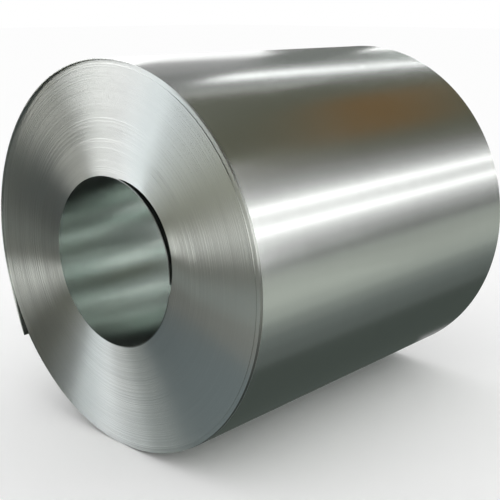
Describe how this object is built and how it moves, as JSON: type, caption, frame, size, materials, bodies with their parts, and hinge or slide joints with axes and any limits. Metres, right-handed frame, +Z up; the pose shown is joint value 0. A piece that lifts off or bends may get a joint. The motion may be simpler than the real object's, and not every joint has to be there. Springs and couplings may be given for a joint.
{
  "type": "steel coil",
  "caption": "Coil of bright steel strip wound round an open eye, lying on its round side, with its laps showing as rings on the ends and a loose outer tail.",
  "frame": {"origin": "on the floor, under the middle of the coil, which lies on its round side", "axes": "+Z up, +Y along the coil's axis, away from the end that the picture shows, +X to the right as seen from that end"},
  "size_m": [1.1661, 1.24, 1.1645],
  "materials": {
    "steel": "bright rolled strip with slit edges"
  },
  "bodies": {
    "root": {"coil": "steel"}
  },
  "joints": []
}
